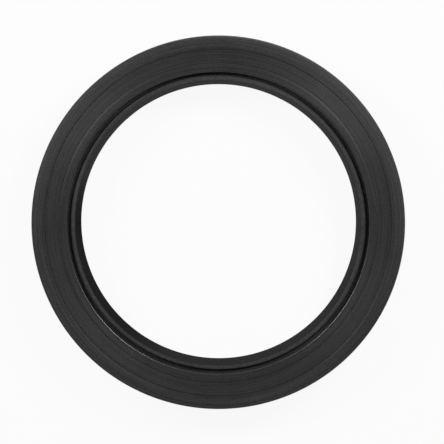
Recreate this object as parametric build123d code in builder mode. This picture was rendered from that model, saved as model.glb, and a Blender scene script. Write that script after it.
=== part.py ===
from build123d import *
from math import radians, tan
import os

# Radial shaft seal, 65 x 85 x 10 mm: rubber covered, spring loaded, with a dust lip.
#
# One moulded rubber body is bonded round a pressed steel ring. Its outside
# seals the housing bore, its main lip seals the shaft under the pull of a
# garter spring, and its dust lip keeps dirt away from the main lip.
#
# The seal lies on its oil-side rim with the air-side face up. Z is the shaft
# axis and Z = 0 is the rim. Each piece is a section in the XZ plane, where X
# is the radius and Y of the sketch is the height, turned once about Z.
# All sizes are in millimetres and degrees.

# ---- Size of the seal ------------------------------------------------------------------
shaft_diameter = 65.0
radial_section = 10.0  # from the shaft to the housing bore
width = 10.0  # along the shaft
press_allowance = 0.30  # outside diameter over the housing bore

# ---- Rubber cover over the ring --------------------------------------------------------
outside_cover = 1.30  # on the ring's outside wall
face_cover = 0.88  # on the ring's flange, under the flat of the face
flange_end_cover = 1.02  # round the flange's inner end
rim_cover = 1.00  # under the ring's lower end
inner_skin = 0.45  # wrapped up the inside of the ring
inner_skin_height = 2.40
inner_skin_taper = 0.35
skin_top_radius = 0.20
rim_inner_chamfer = 0.25
rim_outer_radius = 0.25  # rounding where the rim meets the taper
lead_in_depth = 0.90  # taper that starts the seal into the bore
lead_in_height = 2.20
lead_in_radius = 0.50

# ---- Air-side face ---------------------------------------------------------------------
outer_band_width = 2.94  # crowned band outside the outer groove
outer_band_drop = 0.09  # face bore's rim to the band's highest ring
band_slope_width = 0.54  # the band's rise from the outer groove
band_slope_drop = 0.015
band_slope_radius = 0.50
crown_inset = 1.15  # where the band turns down, from the outside
crown_drop = 0.02  # the band's highest ring to the crown's corner
crown_radius = 4.00
outer_edge_drop = 0.23  # the band's highest ring to the outside edge's corner
outer_edge_radius = 0.65
flat_depth = 0.12  # wide flat below the face bore's rim
outer_groove_depth = 0.12  # below the flat
outer_groove_outer_flank = 0.07
outer_groove_floor = 0.09
outer_groove_inner_flank = 0.09
inner_groove_depth = 0.06  # below the flat
inner_groove_outer_flank = 0.06
inner_groove_floor = 0.08
inner_groove_inner_flank = 0.07
groove_edge_radius = 0.05
inner_rim_width = 1.47  # level part, round the face bore
inner_rim_outer_radius = 0.50
inner_rim_bore_radius = 0.20
shoulder_width = 0.45  # slope from the level rim to the inner groove
shoulder_drop = 0.055
shoulder_radius = 0.08

# ---- Dust lip --------------------------------------------------------------------------
dust_lip_clearance = 0.15  # on the radius, round the shaft
dust_lip_thickness = 0.78
dust_lip_setback = 0.70  # below the face
dust_lip_lean = 0.38  # how far its root stands out from its tip
dust_lip_outer_edge_radius = 0.12
dust_lip_inner_edge_radius = 0.10
dust_channel_width = 0.67  # from the dust lip's root to the face bore
dust_channel_undercut = 0.17  # how far the floor runs under the face bore
dust_channel_depth = 1.50
dust_channel_radius = 0.20
channel_bend_share = 0.48  # largest bend at each side, as a share of the floor
grease_pocket_depth = 2.80  # valley between the two lips, below the face
grease_pocket_radius = 0.45

# ---- Main lip --------------------------------------------------------------------------
lip_interference = 2.00  # on the shaft diameter, unstretched
lip_land = 0.20  # height of the sealing edge
air_side_angle = 25.0  # between the cone and the shaft
oil_side_angle = 45.0
oil_cone_height = 1.60
head_setback = 1.70  # head above the oil-side rim
head_nose_radius = 0.15
retainer_slope = 0.25  # the head's end rises by this to the retaining edge
retainer_radius = 0.20
seat_shoulder_height = 0.35  # rubber above the spring seat
seat_shoulder_radius = 0.30
seat_mouth_radius = 0.08
membrane_thickness = 1.30  # across, at the waist
membrane_flare = 0.60  # how far its root stands out from the waist
membrane_waist_radius = 0.60
membrane_root_radius = 0.60
membrane_bend_share = 0.30  # largest bend, as a share of the free length
flange_underside_cover = 0.60
flange_foot_width = 1.10  # rubber foot under the flange, past its inner end
flange_foot_radius = 0.20

# ---- Garter spring ---------------------------------------------------------------------
spring_coil_diameter = 2.20
spring_offset = 0.45  # spring centre on the air side of the sealing edge
spring_clearance = 0.05  # round the coil in its seat
spring_neck = 2.05  # rubber between the sealing edge and the seat
seat_mouth_offset = 0.10  # mouth of the seat outside the spring's centre

# ---- Stiffening ring -------------------------------------------------------------------
ring_sheet = 1.00
ring_outer_bend = 1.40
ring_inner_bend = 0.40
ring_edge_radius = 0.12

# ---- Radii that follow -----------------------------------------------------------------
shaft_radius = shaft_diameter / 2
outer_radius = shaft_radius + radial_section + press_allowance / 2
ring_outer_radius = outer_radius - outside_cover
ring_inner_radius = ring_outer_radius - ring_sheet
ring_middle_radius = ring_outer_radius - ring_sheet / 2
skin_radius = ring_inner_radius - inner_skin
rim_corner_radius = outer_radius - lead_in_depth
crown_corner_radius = outer_radius - crown_inset

dust_lip_radius = shaft_radius + dust_lip_clearance
dust_lip_outside = dust_lip_radius + dust_lip_thickness
dust_lip_root = dust_lip_outside + dust_lip_lean
face_bore_radius = dust_lip_root + dust_channel_width
channel_outside = face_bore_radius + dust_channel_undercut
channel_floor = dust_channel_width + dust_channel_undercut
channel_bend = min(dust_channel_radius, channel_bend_share * channel_floor)
flange_inner_radius = face_bore_radius + flange_end_cover
foot_radius = flange_inner_radius + flange_foot_width

rim_level_end = face_bore_radius + inner_rim_width
shoulder_foot = rim_level_end + shoulder_width
inner_groove_inside = shoulder_foot + inner_groove_inner_flank
inner_groove_outside = inner_groove_inside + inner_groove_floor
flat_inside = inner_groove_outside + inner_groove_outer_flank

band_foot = outer_radius - outer_band_width
outer_groove_outside = band_foot - outer_groove_outer_flank
outer_groove_inside = outer_groove_outside - outer_groove_floor
flat_outside = outer_groove_inside - outer_groove_inner_flank

lip_radius = (shaft_diameter - lip_interference) / 2
spring_radius = spring_coil_diameter / 2
seat_radius = spring_radius + spring_clearance
spring_ring_radius = lip_radius + spring_neck + seat_radius
seat_mouth_x = spring_ring_radius + seat_mouth_offset

# ---- Heights that follow ---------------------------------------------------------------
lip_low = head_setback + oil_cone_height
lip_high = lip_low + lip_land
spring_height = (lip_low + lip_high) / 2 + spring_offset
seat_shoulder = spring_height + seat_radius + seat_shoulder_height

band_height = width - outer_band_drop
flat_height = width - flat_depth
outer_groove_height = flat_height - outer_groove_depth
inner_groove_height = flat_height - inner_groove_depth
shoulder_height = width - shoulder_drop
flange_top = flat_height - face_cover
flange_bottom = flange_top - ring_sheet
flange_middle = flange_top - ring_sheet / 2
foot_height = flange_bottom - flange_underside_cover
dust_lip_height = width - dust_lip_setback
channel_height = width - dust_channel_depth
pocket_height = width - grease_pocket_depth
waist_height = (seat_shoulder + foot_height) / 2

# ---- Where the cones meet their neighbours ---------------------------------------------
oil_cone_radius = lip_radius + oil_cone_height * tan(radians(oil_side_angle))
pocket_radius = lip_radius + (pocket_height - lip_high) * tan(radians(air_side_angle))
waist_inner_radius = lip_radius + (waist_height - lip_high) * tan(radians(air_side_angle))
waist_radius = waist_inner_radius + membrane_thickness
root_radius = waist_radius + membrane_flare
membrane_length = foot_height - seat_shoulder
waist_bend = min(membrane_waist_radius, membrane_bend_share * membrane_length)
root_bend = min(membrane_root_radius, membrane_bend_share * membrane_length)

# ---- Stiffening ring: sheet steel, an outside wall and a flange ------------------------
ring_corners = [
    (ring_outer_radius, rim_cover, ring_edge_radius),
    (ring_outer_radius, flange_top, ring_outer_bend),
    (flange_inner_radius, flange_top, ring_edge_radius),
    (flange_inner_radius, flange_bottom, ring_edge_radius),
    (ring_inner_radius, flange_bottom, ring_inner_bend),
    (ring_inner_radius, rim_cover, ring_edge_radius),
]

with BuildPart() as stiffening_ring:
    with BuildSketch(Plane.XZ):
        with BuildLine():
            FilletPolyline(
                [(x, z) for x, z, _ in ring_corners],
                radius=[r for _, _, r in ring_corners],
                close=True,
            )
        make_face()
    revolve(axis=Axis.Z)
stiffening_ring.part.label = "stiffening_ring"

# ---- Rubber body: cover, face, membrane and both lips in one moulding ------------------
# Each corner is (radius, height, rounding), from the oil-side rim up the
# outside, in over the air-side face, down both lips, and back under the
# flange to the inside of the rim. Where the rubber is bonded to the ring, the
# outline runs through the middle of the sheet and the ring is cut out after.
cover_corners = [
    (rim_corner_radius, 0, rim_outer_radius),
    (outer_radius, lead_in_height, lead_in_radius),
    (outer_radius, band_height - outer_edge_drop, outer_edge_radius),
    (crown_corner_radius, band_height - crown_drop, crown_radius),
]
face_corners = [
    (band_foot + band_slope_width, band_height, band_slope_radius),
    (band_foot, band_height - band_slope_drop, groove_edge_radius),
    (outer_groove_outside, outer_groove_height, 0),
    (outer_groove_inside, outer_groove_height, 0),
    (flat_outside, flat_height, groove_edge_radius),
    (flat_inside, flat_height, groove_edge_radius),
    (inner_groove_outside, inner_groove_height, 0),
    (inner_groove_inside, inner_groove_height, 0),
    (shoulder_foot, shoulder_height, shoulder_radius),
    (rim_level_end, width, inner_rim_outer_radius),
    (face_bore_radius, width, inner_rim_bore_radius),
]
dust_lip_corners = [
    (channel_outside, channel_height, channel_bend),
    (dust_lip_root, channel_height, channel_bend),
    (dust_lip_outside, dust_lip_height, dust_lip_outer_edge_radius),
    (dust_lip_radius, dust_lip_height, dust_lip_inner_edge_radius),
    (pocket_radius, pocket_height, grease_pocket_radius),
]
main_lip_corners = [
    (lip_radius, lip_high, 0),
    (lip_radius, lip_low, 0),
    (oil_cone_radius, head_setback, head_nose_radius),
    (seat_mouth_x, head_setback + retainer_slope, retainer_radius),
    (seat_mouth_x, seat_shoulder, seat_shoulder_radius),
    (waist_radius, waist_height, waist_bend),
]
underside_corners = [
    (root_radius, foot_height, root_bend),
    (foot_radius, foot_height, flange_foot_radius),
    (foot_radius, flange_middle, 0),
    (ring_middle_radius, flange_middle, 0),
    (ring_middle_radius, inner_skin_height, 0),
    (ring_inner_radius, inner_skin_height, 0),
    (skin_radius, inner_skin_height - inner_skin_taper, skin_top_radius),
    (skin_radius, rim_inner_chamfer, 0),
    (skin_radius + rim_inner_chamfer, 0, 0),
]
body_corners = cover_corners + face_corners + dust_lip_corners + main_lip_corners + underside_corners

with BuildPart() as rubber_body:
    with BuildSketch(Plane.XZ) as body_section:
        with BuildLine():
            FilletPolyline(
                [(x, z) for x, z, _ in body_corners],
                radius=[r for _, _, r in body_corners],
                close=True,
            )
        make_face()
        with Locations((spring_ring_radius, spring_height)):
            Circle(seat_radius, mode=Mode.SUBTRACT)
        fillet(body_section.vertices(Select.LAST), radius=seat_mouth_radius)
    revolve(axis=Axis.Z)
    add(stiffening_ring.part, mode=Mode.SUBTRACT)
rubber_body.part.label = "rubber_body"

# ---- Garter spring: the closed ring that its coils fill --------------------------------
with BuildPart() as garter_spring:
    with BuildSketch(Plane.XZ):
        with Locations((spring_ring_radius, spring_height)):
            Circle(spring_radius)
    revolve(axis=Axis.Z)
garter_spring.part.label = "garter_spring"

os.makedirs("parts", exist_ok=True)
export_step(rubber_body.part, "parts/rubber_body.step")
export_step(stiffening_ring.part, "parts/stiffening_ring.step")
export_step(garter_spring.part, "parts/garter_spring.step")
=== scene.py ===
import logging
import math
from dataclasses import dataclass, fields
from enum import Enum
from typing import Union

import bmesh
import bpy
from mathutils import Matrix, Vector


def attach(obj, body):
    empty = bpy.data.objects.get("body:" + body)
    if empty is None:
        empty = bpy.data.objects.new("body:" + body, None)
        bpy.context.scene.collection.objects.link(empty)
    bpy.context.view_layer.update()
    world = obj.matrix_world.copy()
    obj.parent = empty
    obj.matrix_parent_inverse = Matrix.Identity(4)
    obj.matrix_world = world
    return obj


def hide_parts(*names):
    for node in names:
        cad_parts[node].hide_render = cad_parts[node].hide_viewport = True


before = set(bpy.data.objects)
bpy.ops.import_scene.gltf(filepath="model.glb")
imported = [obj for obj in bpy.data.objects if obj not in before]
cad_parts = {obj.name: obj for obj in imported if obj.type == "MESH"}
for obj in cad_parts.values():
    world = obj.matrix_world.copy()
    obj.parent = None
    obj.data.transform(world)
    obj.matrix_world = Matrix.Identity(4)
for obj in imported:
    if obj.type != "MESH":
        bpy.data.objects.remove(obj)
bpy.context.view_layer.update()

log = logging.getLogger("shaft_seal")

MM = 0.001
ROOT = "root"
WHITE = (1.0, 1.0, 1.0)

Colour = tuple[float, float, float]
Point = tuple[float, float, float]
Number = Union[float, "Value"]


# ---- Shader maths -------------------------------------------------------------------


class Value:
    """A socket in shader maths: an expression on values adds its Math nodes."""

    def __init__(self, graph: "Graph", socket: bpy.types.NodeSocket) -> None:
        """Keeps the graph that new nodes go to, and the socket."""
        self.graph = graph
        self.socket = socket

    def math(self, operation: str, *inputs: Number) -> "Value":
        """Adds one Math node.

        Args:
            operation: the node's operation.
            inputs: its one or two inputs, in order.

        Returns:
            The node's result.
        """
        values = dict(enumerate(inputs))
        return self.graph.value("ShaderNodeMath", {"operation": operation}, values, "Value")

    def __add__(self, other: Number) -> "Value":
        """Returns self + other."""
        return self.math("ADD", self, other)

    __radd__ = __add__

    def __mul__(self, other: Number) -> "Value":
        """Returns self * other."""
        return self.math("MULTIPLY", self, other)

    __rmul__ = __mul__

    def __sub__(self, other: Number) -> "Value":
        """Returns self - other."""
        return self.math("SUBTRACT", self, other)

    def __rsub__(self, other: Number) -> "Value":
        """Returns other - self."""
        return self.math("SUBTRACT", other, self)

    def __truediv__(self, other: Number) -> "Value":
        """Returns self / other."""
        return self.math("DIVIDE", self, other)

    def root(self) -> "Value":
        """Returns the square root."""
        return self.math("SQRT", self)

    def at_least(self, other: Number) -> "Value":
        """Returns the larger of the two."""
        return self.math("MAXIMUM", self, other)

    def rise(self, low: float, high: float) -> "Value":
        """Returns 0 below low, 1 above high and a smooth step between."""
        settings = {"interpolation_type": "SMOOTHSTEP"}
        values = {"Value": self, "From Min": low, "From Max": high}
        return self.graph.value("ShaderNodeMapRange", settings, values, "Result")

    def clearer(self, margin: float = 0.3) -> "Value":
        """Returns noise with more contrast, by cutting a margin off its top and bottom."""
        return self.rise(margin, 1 - margin)


class Graph:
    """The nodes of one material or of the world."""

    def __init__(self, tree: bpy.types.NodeTree) -> None:
        """Starts from an empty tree."""
        self.tree = tree
        self.tree.nodes.clear()

    def node(
        self, kind: str, settings: dict | None = None, values: dict | None = None
    ) -> bpy.types.Node:
        """Adds one node.

        Args:
            kind: the node's type.
            settings: its properties, set first.
            values: numbers, colours or links for its sockets, by name or place.

        Returns:
            The node.
        """
        made = self.tree.nodes.new(kind)
        for name, setting in (settings or {}).items():
            setattr(made, name, setting)
        for name, value in (values or {}).items():
            socket = made.inputs[name]
            if isinstance(value, Value):
                self.tree.links.new(value.socket, socket)
            else:
                socket.default_value = value
        return made

    def value(
        self, kind: str, settings: dict | None, values: dict | None, output: str | int
    ) -> Value:
        """Adds one node and returns one of its outputs, named or by place."""
        return Value(self, self.node(kind, settings, values).outputs[output])

    def noise(self, place: Value, size: float, detail: float = 2.0) -> Value:
        """Returns noise from 0 to 1, whose cells are about so large in metres."""
        values = {"Vector": place, "Scale": 1 / size, "Detail": detail}
        return self.value("ShaderNodeTexNoise", None, values, "Fac")

    def mix(self, share: Value, first: Colour | Value, second: Colour | Value) -> Value:
        """Returns a colour between first, at share 0, and second, at share 1."""
        whole = [c if isinstance(c, Value) else (*c, 1.0) for c in (first, second)]
        values = {0: share, 6: whole[0], 7: whole[1]}
        return self.value("ShaderNodeMix", {"data_type": "RGBA"}, values, 2)

    def blend(self, share: Value, first: Value, second: Value) -> Value:
        """Returns a shader between first, at share 0, and second, at share 1."""
        return self.value("ShaderNodeMixShader", None, {0: share, 1: first, 2: second}, "Shader")

    def bump(self, height: Value, depth: float) -> Value:
        """Returns the normal of a surface whose marks are so deep in metres."""
        values = {"Strength": 1.0, "Distance": depth, "Height": height}
        return self.value("ShaderNodeBump", None, values, "Normal")

    def principled(self, values: dict) -> Value:
        """Returns the shader that has these sockets."""
        return self.value("ShaderNodeBsdfPrincipled", None, values, "BSDF")


class Measure(Enum):
    """What places a surface on a turned piece."""

    RADIUS = "radius"
    HEIGHT = "height"


@dataclass(frozen=True)
class Place:
    """Where a point of a turned piece lies, as shader values in metres."""

    point: Value
    x: Value
    y: Value
    radius: Value
    height: Value
    round_the_axis: Value

    @classmethod
    def on(cls, graph: Graph, drift: float = 0.4 * MM) -> "Place":
        """Reads the object's coordinates.

        Args:
            graph: the material's nodes.
            drift: how far a turned mark moves in a turn, as a radius.

        Returns:
            The point, its radius and height, and a vector that runs fast
            across the turning and slowly along it, with no seam.
        """
        point = graph.value("ShaderNodeTexCoord", None, None, "Object")
        split = graph.node("ShaderNodeSeparateXYZ", None, {"Vector": point})
        x, y, z = (Value(graph, socket) for socket in split.outputs)
        radius = (x * x + y * y).root().at_least(MM)
        along = {"X": radius + z, "Y": x / radius * drift, "Z": y / radius * drift}
        round_the_axis = graph.value("ShaderNodeCombineXYZ", None, along, "Vector")
        return cls(point, x, y, radius, z, round_the_axis)

    def along(self, measure: Measure) -> Value:
        """Returns the radius or the height."""
        return {Measure.RADIUS: self.radius, Measure.HEIGHT: self.height}[measure]

    def towards(self, side: tuple[float, float]) -> Value:
        """Returns 1 where the axis sees the point on this side, and -1 opposite it."""
        return (self.x * side[0] + self.y * side[1]) / self.radius


# ---- Finishes -----------------------------------------------------------------------


@dataclass(frozen=True)
class Finish:
    """What a piece is dressed in."""

    name: str

    def surface(self, graph: Graph, place: Place) -> Value:
        """Returns the finish's shader.

        Args:
            graph: the material's nodes.
            place: where the point lies.

        Returns:
            The shader.
        """
        raise NotImplementedError

    def material(self) -> bpy.types.Material:
        """Returns the finished material."""
        made = bpy.data.materials.new(self.name)
        made.use_nodes = True
        graph = Graph(made.node_tree)
        body = self.surface(graph, Place.on(graph))
        graph.node("ShaderNodeOutputMaterial", None, {"Surface": body})
        return made


@dataclass(frozen=True)
class Skin:
    """One surface of the rubber: its greys, its gloss, its marks and where it begins."""

    dark: float
    light: float
    roughness: float
    specular: float
    stretch: float
    mark_depth: float
    measure: Measure = Measure.HEIGHT
    start: float = 0.0


@dataclass(frozen=True)
class Rubber(Finish):
    """Black moulded rubber, whose face keeps the fine turning marks of its mould."""

    name: str = "moulded_rubber"
    main_lip: Skin = Skin(0.0065, 0.0115, 0.40, 0.05, 0.0, 0.006 * MM)
    # Painted shade: one side of the main lip takes this duller, glossless skin, so that side renders
    # darker than the rest of the lip.
    lip_painted_shade: Skin = Skin(0.0115, 0.0240, 0.60, 0.0, 0.0, 0.006 * MM)
    dust_lip: Skin = Skin(0.0280, 0.0700, 0.62, 0.02, 0.0, 0.015 * MM, Measure.HEIGHT, 8.2 * MM)
    channel: Skin = Skin(0.0150, 0.0530, 0.70, 0.0, 0.0, 0.010 * MM, Measure.RADIUS, 33.5 * MM)
    bore_edge: Skin = Skin(0.0060, 0.0240, 0.31, 1.0, 0.0, 0.001 * MM, Measure.HEIGHT, 9.4 * MM)
    face: Skin = Skin(0.0120, 0.0340, 0.46, 0.45, 0.66, 0.012 * MM, Measure.RADIUS, 34.8 * MM)
    cover: Skin = Skin(0.0090, 0.0395, 0.55, 0.42, 0.40, 0.020 * MM, Measure.RADIUS, 40.1 * MM)
    blue_cast: float = 0.0002
    blend: float = 0.4 * MM
    mottle_size: float = 5.0 * MM
    mottle_share: float = 0.1
    mottle_gloss: float = 0.03
    grain_size: float = 0.45 * MM
    grain_share: float = 0.42
    grain_height: float = 0.4
    mark_pitch: float = 0.24 * MM
    mark_share: float = 0.48
    mark_height: float = 0.6
    worn_from: float = 41.6 * MM
    worn_gloss: float = 0.10
    quarter_turn: float = 0.25
    # Where the painted shade on the main lip lies: the side it faces, how far round it reaches and
    # how softly it fades.
    painted_shade_side: tuple[float, float] = (-0.906, -0.423)
    painted_shade_arc: float = 0.66
    painted_shade_blend: float = 0.26

    def shade(self, grey: float) -> Colour:
        """Returns a grey with the rubber's cast."""
        return (grey, grey, grey + self.blue_cast)

    def skin(self, graph: Graph, place: Place, skin: Skin) -> Value:
        """Returns the shader of one surface.

        Args:
            graph: the material's nodes.
            place: where the point lies.
            skin: the surface.

        Returns:
            The shader.
        """
        mottle = graph.noise(place.point, self.mottle_size, 3.0).clearer()
        grain = graph.noise(place.point, self.grain_size, 3.0).clearer()
        marks = graph.noise(place.round_the_axis, self.mark_pitch).clearer()
        worn = place.radius.rise(self.worn_from, self.worn_from + self.blend)
        light = mottle * self.mottle_share + grain * self.grain_share + marks * self.mark_share
        gloss = (mottle - 0.5) * self.mottle_gloss + worn * self.worn_gloss
        height = marks * self.mark_height + grain * self.grain_height
        return graph.principled({
            "Base Color": graph.mix(light, self.shade(skin.dark), self.shade(skin.light)),
            "Roughness": gloss + skin.roughness,
            "Specular IOR Level": skin.specular,
            "Anisotropic": skin.stretch,
            "Anisotropic Rotation": self.quarter_turn,
            "Normal": graph.bump(height, skin.mark_depth),
        })

    def surface(self, graph: Graph, place: Place) -> Value:
        """Lays the surfaces over each other, from the main lip out to the cover.

        Args:
            graph: the material's nodes.
            place: where the point lies.

        Returns:
            The shader.
        """
        # Painted shade: the main lip turns to its duller skin on one side, so it renders darker
        # there.
        painted_shade = place.towards(self.painted_shade_side).rise(self.painted_shade_arc, self.painted_shade_arc + self.painted_shade_blend)
        lip = self.skin(graph, place, self.main_lip)
        body = graph.blend(painted_shade, lip, self.skin(graph, place, self.lip_painted_shade))
        for skin in (self.dust_lip, self.channel, self.bore_edge, self.face, self.cover):
            share = place.along(skin.measure).rise(skin.start, skin.start + self.blend)
            body = graph.blend(share, body, self.skin(graph, place, skin))
        return body


@dataclass(frozen=True)
class RingSteel(Finish):
    """Dull phosphated sheet steel, stained where the rubber's bonding film ends."""

    name: str = "phosphated_steel"
    pale: Colour = (0.30, 0.30, 0.29)
    dark: Colour = (0.17, 0.17, 0.165)
    film: Colour = (0.030, 0.022, 0.018)
    film_metal: float = 0.1
    roughness: float = 0.46
    crystal_size: float = 0.10 * MM
    crystal_share: float = 0.5
    crystal_height: float = 0.4
    cloud_size: float = 2.2 * MM
    cloud_share: float = 0.5
    cloud_gloss: float = 0.2
    cloud_margin: float = 0.35
    draw_pitch: float = 0.20 * MM
    draw_height: float = 0.6
    draw_gloss: float = 0.1
    mark_depth: float = 0.012 * MM
    skin_top: float = 2.40 * MM
    foot_radius: float = 36.60 * MM
    film_width: float = 0.55 * MM

    def surface(self, graph: Graph, place: Place) -> Value:
        """Dresses the ring, bare above the inner skin and past the rubber's foot.

        Args:
            graph: the material's nodes.
            place: where the point lies.

        Returns:
            The shader.
        """
        crystals = graph.noise(place.point, self.crystal_size)
        clouds = graph.noise(place.point, self.cloud_size, 3.0)
        draws = graph.noise(place.round_the_axis, self.draw_pitch)
        ragged = (clouds - 0.5) * self.film_width
        above_skin = (place.height + ragged).rise(self.skin_top, self.skin_top + self.film_width)
        past_foot = (place.radius + ragged).rise(self.foot_radius, self.foot_radius + self.film_width)
        bare = above_skin * past_foot
        light = crystals * self.crystal_share + clouds.clearer(self.cloud_margin) * self.cloud_share
        gloss = (clouds - 0.5) * self.cloud_gloss + (draws - 0.5) * self.draw_gloss
        height = crystals * self.crystal_height + draws * self.draw_height
        return graph.principled({
            "Base Color": graph.mix(bare, self.film, graph.mix(light, self.dark, self.pale)),
            "Metallic": bare * (1 - self.film_metal) + self.film_metal,
            "Roughness": gloss + self.roughness,
            "Normal": graph.bump(height, self.mark_depth),
        })


@dataclass(frozen=True)
class SpringWire(Finish):
    """Bright drawn spring wire."""

    name: str = "spring_wire"
    pale: Colour = (0.58, 0.57, 0.55)
    dark: Colour = (0.34, 0.33, 0.32)
    roughness: float = 0.26
    cloud_size: float = 1.4 * MM
    cloud_share: float = 0.6
    scratch_size: float = 0.07 * MM
    scratch_share: float = 0.4
    scratch_gloss: float = 0.2

    def surface(self, graph: Graph, place: Place) -> Value:
        """Dresses the wire.

        Args:
            graph: the material's nodes.
            place: where the point lies.

        Returns:
            The shader.
        """
        clouds = graph.noise(place.point, self.cloud_size).clearer()
        scratches = graph.noise(place.point, self.scratch_size)
        light = clouds * self.cloud_share + scratches * self.scratch_share
        return graph.principled({
            "Base Color": graph.mix(light, self.dark, self.pale),
            "Metallic": 1.0,
            "Roughness": (scratches - 0.5) * self.scratch_gloss + self.roughness,
        })


# ---- Turned bodies ------------------------------------------------------------------


@dataclass(frozen=True)
class Corner:
    """One corner of a turned section, in millimetres."""

    radius: float
    height: float
    rounding: float = 0.0


@dataclass(frozen=True)
class Stretch:
    """A stretch of a section: its fields are its corners, in order."""

    def corners(self) -> list[Corner]:
        """Returns the corners in order."""
        return [getattr(self, field.name) for field in fields(self)]


@dataclass(frozen=True)
class Turning:
    """Turns a closed section of rounded corners about the shaft axis."""

    steps: int = 360
    degrees_per_facet: float = 14.0
    sharp_from: float = 35.0

    def section(self, corners: list[Corner]) -> bmesh.types.BMesh:
        """Draws the section as a closed wire with its corners rounded.

        Args:
            corners: the section's corners, in order.

        Returns:
            The mesh that holds the wire.
        """
        bm = bmesh.new()
        points = [bm.verts.new((c.radius * MM, 0.0, c.height * MM)) for c in corners]
        for first, second in zip(points, points[1:] + points[:1]):
            bm.edges.new((first, second))
        places = [point.co.copy() for point in points]
        for i, corner in enumerate(corners):
            if corner.rounding == 0.0:
                continue
            before = places[i] - places[i - 1]
            after = places[(i + 1) % len(places)] - places[i]
            turn = before.angle(after)
            bmesh.ops.bevel(
                bm,
                geom=[points[i]],
                offset=corner.rounding * MM * math.tan(turn / 2),
                offset_type="OFFSET",
                segments=max(2, round(math.degrees(turn) / self.degrees_per_facet)),
                profile=0.5,
                affect="VERTICES",
                material=-1,
            )
        return bm

    def body(self, name: str, corners: list[Corner], finish: Finish) -> bpy.types.Object:
        """Turns a section into a closed piece.

        Args:
            name: the piece's name.
            corners: the section's corners, in order.
            finish: what it is dressed in.

        Returns:
            The piece, at the origin.
        """
        bm = self.section(corners)
        bmesh.ops.spin(
            bm,
            geom=bm.verts[:] + bm.edges[:],
            cent=(0.0, 0.0, 0.0),
            axis=(0.0, 0.0, 1.0),
            dvec=(0.0, 0.0, 0.0),
            angle=math.tau,
            steps=self.steps,
            use_merge=True,
            use_duplicate=False,
        )
        bmesh.ops.recalc_face_normals(bm, faces=bm.faces[:])
        mesh = bpy.data.meshes.new(name)
        bm.to_mesh(mesh)
        bm.free()
        mesh.shade_smooth()
        mesh.set_sharp_from_angle(angle=math.radians(self.sharp_from))
        mesh.materials.append(finish.material())
        piece = bpy.data.objects.new(name, mesh)
        bpy.context.scene.collection.objects.link(piece)
        even = piece.modifiers.new("even_shading", "WEIGHTED_NORMAL")
        even.keep_sharp = True
        return piece


# ---- Stiffening ring and garter spring ----------------------------------------------


@dataclass(frozen=True)
class StiffeningRing:
    """The pressed steel ring, in millimetres."""

    outside: float = 41.35
    inside: float = 40.35
    bore: float = 35.50
    low_end: float = 1.00
    flange_bottom: float = 8.00
    flange_top: float = 9.00
    outer_bend: float = 1.40
    inner_bend: float = 0.40
    edge: float = 0.12
    finish: RingSteel = RingSteel()

    def bonded_corners(self) -> list[Corner]:
        """Returns the faces that the rubber covers, from the low end round to the bore."""
        return [
            Corner(self.outside, self.low_end, self.edge),
            Corner(self.outside, self.flange_top, self.outer_bend),
            Corner(self.bore, self.flange_top, self.edge),
            Corner(self.bore, self.flange_bottom, self.edge),
        ]

    def build(self) -> bpy.types.Object:
        """Makes the ring, rides it and lets it stand for the CAD ring."""
        corners = [
            *self.bonded_corners(),
            Corner(self.inside, self.flange_bottom, self.inner_bend),
            Corner(self.inside, self.low_end, self.edge),
        ]
        piece = Turning().body("steel_ring", corners, self.finish)
        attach(piece, ROOT)
        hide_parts("stiffening_ring")
        return piece


@dataclass(frozen=True)
class GarterSpring:
    """The close-wound spring behind the main lip, in millimetres."""

    ring_radius: float = 34.70
    height: float = 3.85
    coil: float = 2.20
    wire: float = 0.40
    turns: int = 526
    points_per_turn: int = 12
    nib_length: float = 3.0
    nib_depth: float = 0.12
    nib_angle: float = 2.6
    finish: SpringWire = SpringWire()

    def centreline(self) -> list[Vector]:
        """Returns the wire's centre line: a helix bent round the seal, with its nib joint."""
        points = []
        count = self.turns * self.points_per_turn
        for i in range(count):
            around = math.tau * i / count
            phase = math.tau * i / self.points_per_turn
            from_nib = (around - self.nib_angle) * self.ring_radius / self.nib_length
            arm = (self.coil - self.wire) / 2 - self.nib_depth * math.exp(-from_nib * from_nib)
            radius = (self.ring_radius + arm * math.cos(phase)) * MM
            height = (self.height + arm * math.sin(phase)) * MM
            points.append(Vector((radius * math.cos(around), radius * math.sin(around), height)))
        return points

    def wound(self) -> bpy.types.Mesh:
        """Returns the wire's mesh, a round section swept along the centre line."""
        line = bpy.data.curves.new("spring_line", "CURVE")
        line.dimensions = "3D"
        line.bevel_depth = self.wire / 2 * MM
        line.bevel_resolution = 1
        spline = line.splines.new("POLY")
        points = self.centreline()
        spline.points.add(len(points) - 1)
        for knot, point in zip(spline.points, points):
            knot.co = (*point, 1.0)
        spline.use_cyclic_u = True
        drawn = bpy.data.objects.new("spring_line", line)
        bpy.context.scene.collection.objects.link(drawn)
        evaluated = drawn.evaluated_get(bpy.context.evaluated_depsgraph_get())
        mesh = bpy.data.meshes.new_from_object(evaluated)
        bpy.data.objects.remove(drawn)
        return mesh

    def build(self) -> bpy.types.Object:
        """Makes the spring, rides it and lets it stand for the CAD spring."""
        mesh = self.wound()
        mesh.name = "spring_coils"
        mesh.shade_smooth()
        mesh.materials.clear()
        mesh.materials.append(self.finish.material())
        piece = bpy.data.objects.new("spring_coils", mesh)
        bpy.context.scene.collection.objects.link(piece)
        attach(piece, ROOT)
        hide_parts("garter_spring")
        return piece


# ---- Rubber body --------------------------------------------------------------------


@dataclass(frozen=True)
class Outside(Stretch):
    """The outside, from the rim up over the crowned band.

    The wall stands a hair inside the solid's 42.65, so that the turned mesh
    stays in the solid's box.
    """

    rim: Corner = Corner(41.75, 0.0, 0.25)
    taper: Corner = Corner(42.6495, 2.20, 0.50)
    edge: Corner = Corner(42.6495, 9.68, 0.65)
    crown: Corner = Corner(41.50, 9.89, 4.00)


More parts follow.
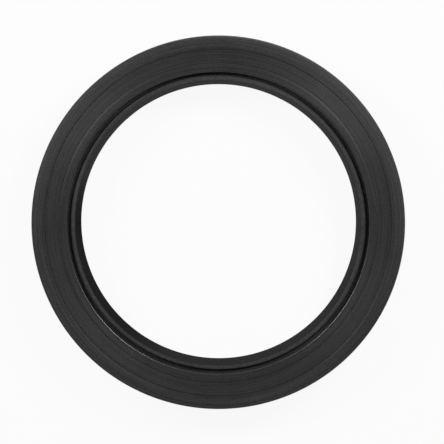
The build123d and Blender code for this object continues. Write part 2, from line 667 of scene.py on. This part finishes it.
@dataclass(frozen=True)
class Face(Stretch):
    """The air-side face, from the crowned band in to its bore."""

    band: Corner = Corner(40.25, 9.91, 0.50)
    band_foot: Corner = Corner(39.71, 9.895, 0.05)
    outer_groove_outside: Corner = Corner(39.64, 9.76)
    outer_groove_inside: Corner = Corner(39.55, 9.76)
    flat_outside: Corner = Corner(39.46, 9.88, 0.05)
    flat_inside: Corner = Corner(36.61, 9.88, 0.05)
    inner_groove_outside: Corner = Corner(36.55, 9.82)
    inner_groove_inside: Corner = Corner(36.47, 9.82)
    shoulder: Corner = Corner(36.40, 9.95, 0.05)
    rim: Corner = Corner(35.90, 10.0, 0.80)
    bore: Corner = Corner(34.48, 9.965, 0.20)


@dataclass(frozen=True)
class DustLip(Stretch):
    """The channel, the dust lip and the grease pocket behind it."""

    channel_outside: Corner = Corner(34.65, 8.50, 0.20)
    channel_inside: Corner = Corner(33.81, 8.50, 0.20)
    outer_edge: Corner = Corner(33.43, 9.30, 0.12)
    tip: Corner = Corner(32.65, 9.30, 0.10)
    grease_pocket: Corner = Corner(33.225, 7.20, 0.45)


@dataclass(frozen=True)
class MainLip(Stretch):
    """The sealing edge and the head, up to the mouth of the spring seat."""

    sealing_edge_top: Corner = Corner(31.50, 3.50)
    sealing_edge: Corner = Corner(31.50, 3.30)
    nose: Corner = Corner(33.10, 1.70, 0.15)
    retainer: Corner = Corner(34.80, 1.95, 0.20)


@dataclass(frozen=True)
class SpringSeat:
    """The round seat that holds the spring, in millimetres."""

    spring: GarterSpring = GarterSpring()
    clearance: float = 0.05
    mouth_offset: float = 0.10
    steps: int = 26

    def corners(self) -> list[Corner]:
        """Returns points along the seat, from its oil-side mouth to its air-side one."""
        radius = self.spring.coil / 2 + self.clearance
        mouth = math.acos(self.mouth_offset / radius)
        turns = [mouth + (math.tau - 2 * mouth) * i / self.steps for i in range(self.steps + 1)]
        return [
            Corner(
                self.spring.ring_radius + radius * math.cos(turn),
                self.spring.height - radius * math.sin(turn),
            )
            for turn in turns
        ]


@dataclass(frozen=True)
class Membrane(Stretch):
    """The membrane and the foot under the ring's flange."""

    seat_shoulder: Corner = Corner(34.80, 5.35, 0.30)
    waist: Corner = Corner(34.14, 6.375, 0.60)
    root: Corner = Corner(34.74, 7.40, 0.60)
    foot: Corner = Corner(36.60, 7.40, 0.20)
    foot_top: Corner = Corner(36.60, 8.0)


@dataclass(frozen=True)
class InnerSkin(Stretch):
    """The skin wrapped up the inside of the ring."""

    top: Corner = Corner(40.35, 2.40)
    taper: Corner = Corner(39.90, 2.05, 0.20)
    chamfer: Corner = Corner(39.90, 0.25)
    rim: Corner = Corner(40.15, 0.0)


@dataclass(frozen=True)
class RubberBody:
    """The moulding: outside, air-side face, both lips, membrane and inner skin."""

    outside: Outside = Outside()
    face: Face = Face()
    dust_lip: DustLip = DustLip()
    main_lip: MainLip = MainLip()
    spring_seat: SpringSeat = SpringSeat()
    membrane: Membrane = Membrane()
    inner_skin: InnerSkin = InnerSkin()
    ring: StiffeningRing = StiffeningRing()
    finish: Rubber = Rubber()

    def corners(self) -> list[Corner]:
        """Returns the whole section, from the rim round to the inner skin."""
        return [
            *self.outside.corners(),
            *self.face.corners(),
            *self.dust_lip.corners(),
            *self.main_lip.corners(),
            *self.spring_seat.corners(),
            *self.membrane.corners(),
            *reversed(self.ring.bonded_corners()),
            Corner(self.ring.inside, self.ring.low_end, self.ring.edge),
            *self.inner_skin.corners(),
        ]

    def build(self) -> bpy.types.Object:
        """Makes the moulding, rides it and lets it stand for the CAD body."""
        piece = Turning().body("rubber_moulding", self.corners(), self.finish)
        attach(piece, ROOT)
        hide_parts("rubber_body")
        return piece


# ---- Studio -------------------------------------------------------------------------


class Side(Enum):
    """The side of the seal that a lamp stands on."""

    LEFT = -1.0
    RIGHT = 1.0


@dataclass(frozen=True)
class SoftLamp:
    """A square soft lamp above one side of the seal, in metres."""

    side: Side
    share: float
    across: float
    up_the_table: float
    above: float = 0.32
    size: float = 0.17

    def build(self) -> bpy.types.Object:
        """Makes the lamp, with the power that gives its share of the plain light level."""
        data = bpy.data.lights.new(f"lamp_{self.side.name.lower()}", "AREA")
        data.shape = "SQUARE"
        data.size = self.size
        place = Vector((self.side.value * self.across, self.up_the_table, self.above))
        lean = place.z / place.length
        data.energy = self.share * (math.pi * place.length) ** 2 / lean
        lamp = bpy.data.objects.new(data.name, data)
        lamp.location = place
        lamp.rotation_mode = "QUATERNION"
        lamp.rotation_quaternion = (-place).to_track_quat("-Z", "Y")
        lamp.visible_camera = False
        bpy.context.scene.collection.objects.link(lamp)
        return lamp


class Ray(Enum):
    """A kind of ray, by its Light Path output."""

    CAMERA = "Is Camera Ray"
    GLOSSY = "Is Glossy Ray"
    TRANSMISSION = "Is Transmission Ray"


@dataclass(frozen=True)
class Studio:
    """The pale floor and the even light, in metres."""

    floor_size: float = 6.0
    floor_colour: Colour = (0.80, 0.80, 0.80)
    white_share: float = 0.92
    world_light: float = 0.16
    horizon: float = 0.05
    dark_above: float = 0.50
    lamps: tuple[SoftLamp, ...] = (
        SoftLamp(Side.LEFT, 0.34, 0.31, 0.20),
        SoftLamp(Side.RIGHT, 0.43, 0.273, 0.254),
    )

    @staticmethod
    def seen_by(graph: Graph, *rays: Ray) -> Value:
        """Returns 1 for these kinds of rays and 0 for the rest."""
        path = graph.node("ShaderNodeLightPath")
        first, *others = (Value(graph, path.outputs[ray.value]) for ray in rays)
        return sum(others, first)

    def floor(self) -> bpy.types.Object:
        """Lays the floor under the seal's rim."""
        made = bpy.data.materials.new("pale_floor")
        made.use_nodes = True
        graph = Graph(made.node_tree)
        colour = {"Color": (*self.floor_colour, 1.0)}
        pale = graph.value("ShaderNodeBsdfDiffuse", None, colour, "BSDF")
        white = graph.value("ShaderNodeEmission", None, {"Color": (*WHITE, 1.0)}, "Emission")
        seen = self.seen_by(graph, Ray.CAMERA, Ray.GLOSSY, Ray.TRANSMISSION)
        both = graph.blend(seen * self.white_share, pale, white)
        graph.node("ShaderNodeOutputMaterial", None, {"Surface": both})
        bm = bmesh.new()
        bmesh.ops.create_grid(bm, x_segments=1, y_segments=1, size=self.floor_size / 2)
        mesh = bpy.data.meshes.new("floor")
        bm.to_mesh(mesh)
        bm.free()
        mesh.materials.append(made)
        floor = bpy.data.objects.new("floor", mesh)
        bpy.context.scene.collection.objects.link(floor)
        return floor

    def world(self) -> None:
        """Fills the room with even light, which the camera sees as white."""
        world = bpy.data.worlds.new("studio")
        world.use_nodes = True
        graph = Graph(world.node_tree)
        direction = graph.value("ShaderNodeTexCoord", None, None, "Generated")
        split = graph.node("ShaderNodeSeparateXYZ", None, {"Vector": direction})
        up = Value(graph, split.outputs["Z"])
        backdrop = 1 - up.rise(self.horizon, self.dark_above)
        reflected = self.seen_by(graph, Ray.GLOSSY) * backdrop
        seen = self.seen_by(graph, Ray.CAMERA, Ray.TRANSMISSION) + reflected
        strength = seen * (1 - self.world_light) + self.world_light
        white = {"Color": (*WHITE, 1.0), "Strength": strength}
        light = graph.value("ShaderNodeBackground", None, white, "Background")
        graph.node("ShaderNodeOutputWorld", None, {"Surface": light})
        bpy.context.scene.world = world

    def build(self) -> None:
        """Lays the floor and sets the light."""
        self.floor()
        self.world()
        for lamp in self.lamps:
            lamp.build()
        bpy.context.scene.view_settings.view_transform = "Standard"


@dataclass(frozen=True)
class Camera:
    """The camera that looks down on the air-side face, in metres and degrees."""

    distance: float = 1.0
    lean_up: float = 3.9
    lean_right: float = 0.9
    frame_width: float = 101.33 * MM
    aim: Point = (0.880 * MM, 0.254 * MM, 9.0 * MM)
    sensor: float = 36.0
    reach: float = 10.0

    def build(self) -> bpy.types.Object:
        """Places the camera and makes it the scene's own."""
        data = bpy.data.cameras.new("camera")
        data.sensor_width = self.sensor
        data.lens = self.sensor * self.distance / self.frame_width
        data.clip_end = self.reach
        camera = bpy.data.objects.new("camera", data)
        up, right = math.radians(self.lean_up), math.radians(self.lean_right)
        back = Vector((math.sin(right), math.sin(up), math.cos(up) * math.cos(right))).normalized()
        across = Vector((0.0, 1.0, 0.0)).cross(back).normalized()
        turn = Matrix((across, back.cross(across), back)).transposed()
        camera.location = Vector(self.aim) + back * self.distance
        camera.rotation_euler = turn.to_euler()
        bpy.context.scene.collection.objects.link(camera)
        bpy.context.scene.camera = camera
        return camera


def main() -> None:
    """Builds the seal and its studio."""
    logging.basicConfig(level=logging.INFO, format="%(name)s: %(message)s")
    for part in (RubberBody(), StiffeningRing(), GarterSpring()):
        piece = part.build()
        log.info("%s: %d faces", piece.name, len(piece.data.polygons))
    Studio().build()
    Camera().build()


if __name__ == "__main__":
    main()
